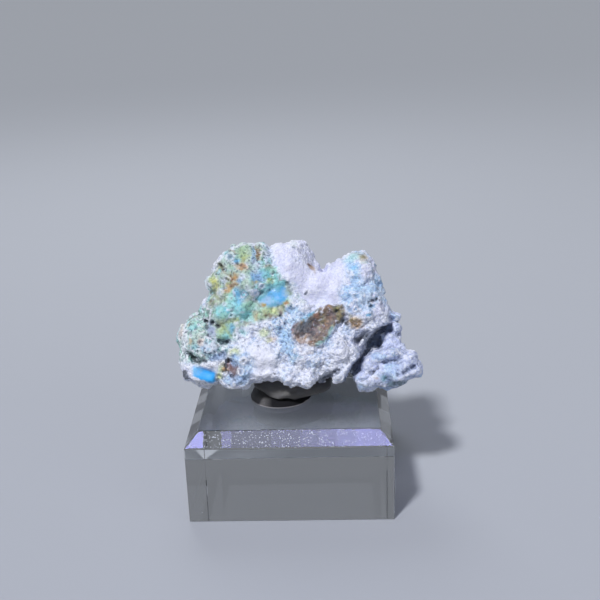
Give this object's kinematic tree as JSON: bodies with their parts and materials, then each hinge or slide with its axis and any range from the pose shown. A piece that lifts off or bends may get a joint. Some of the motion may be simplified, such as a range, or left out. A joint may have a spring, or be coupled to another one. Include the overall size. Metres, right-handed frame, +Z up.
{
  "type": "raw gibbsite specimen on a display block",
  "caption": "Rough lump of raw gibbsite with a botryoidal crust, pressed onto a putty pad on a clear bevelled display block.",
  "frame": {"origin": "middle of the display block's underside", "axes": "+Z up out of the block's top, -Y towards the viewer of the stone's broken face, +X to that viewer's right"},
  "size_m": [0.0621, 0.05, 0.0625],
  "materials": {
    "gibbsite": "sugary crystalline crust, chalk white with sea green, turquoise and sky blue zones",
    "putty": "matte, slightly waxy",
    "acrylic": "polished clear"
  },
  "bodies": {
    "root": {"gibbsite": "gibbsite", "mounting_putty": "putty", "display_block": "acrylic"}
  },
  "joints": []
}
